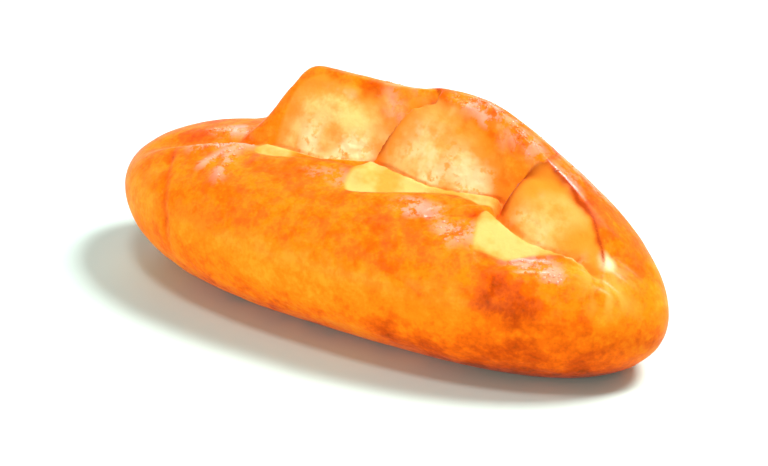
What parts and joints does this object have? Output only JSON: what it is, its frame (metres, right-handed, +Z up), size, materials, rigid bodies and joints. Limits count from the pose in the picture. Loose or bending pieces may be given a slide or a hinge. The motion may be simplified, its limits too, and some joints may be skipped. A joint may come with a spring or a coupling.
{
  "type": "mini brioche roll",
  "caption": "Oblong glazed brioche roll, slashed along its crest so that it opened into pale-faced humps, with a flat baked underside.",
  "frame": {"origin": "on the resting plane, under the middle of the roll's outline", "axes": "+Z up; X along the roll; the torn faces look towards -Y"},
  "size_m": [0.12, 0.0504, 0.045],
  "materials": {
    "crust": "egg-washed golden brown crust with a soft gloss; paler torn crumb on the cut faces"
  },
  "bodies": {
    "root": {"loaf": "crust"}
  },
  "joints": []
}
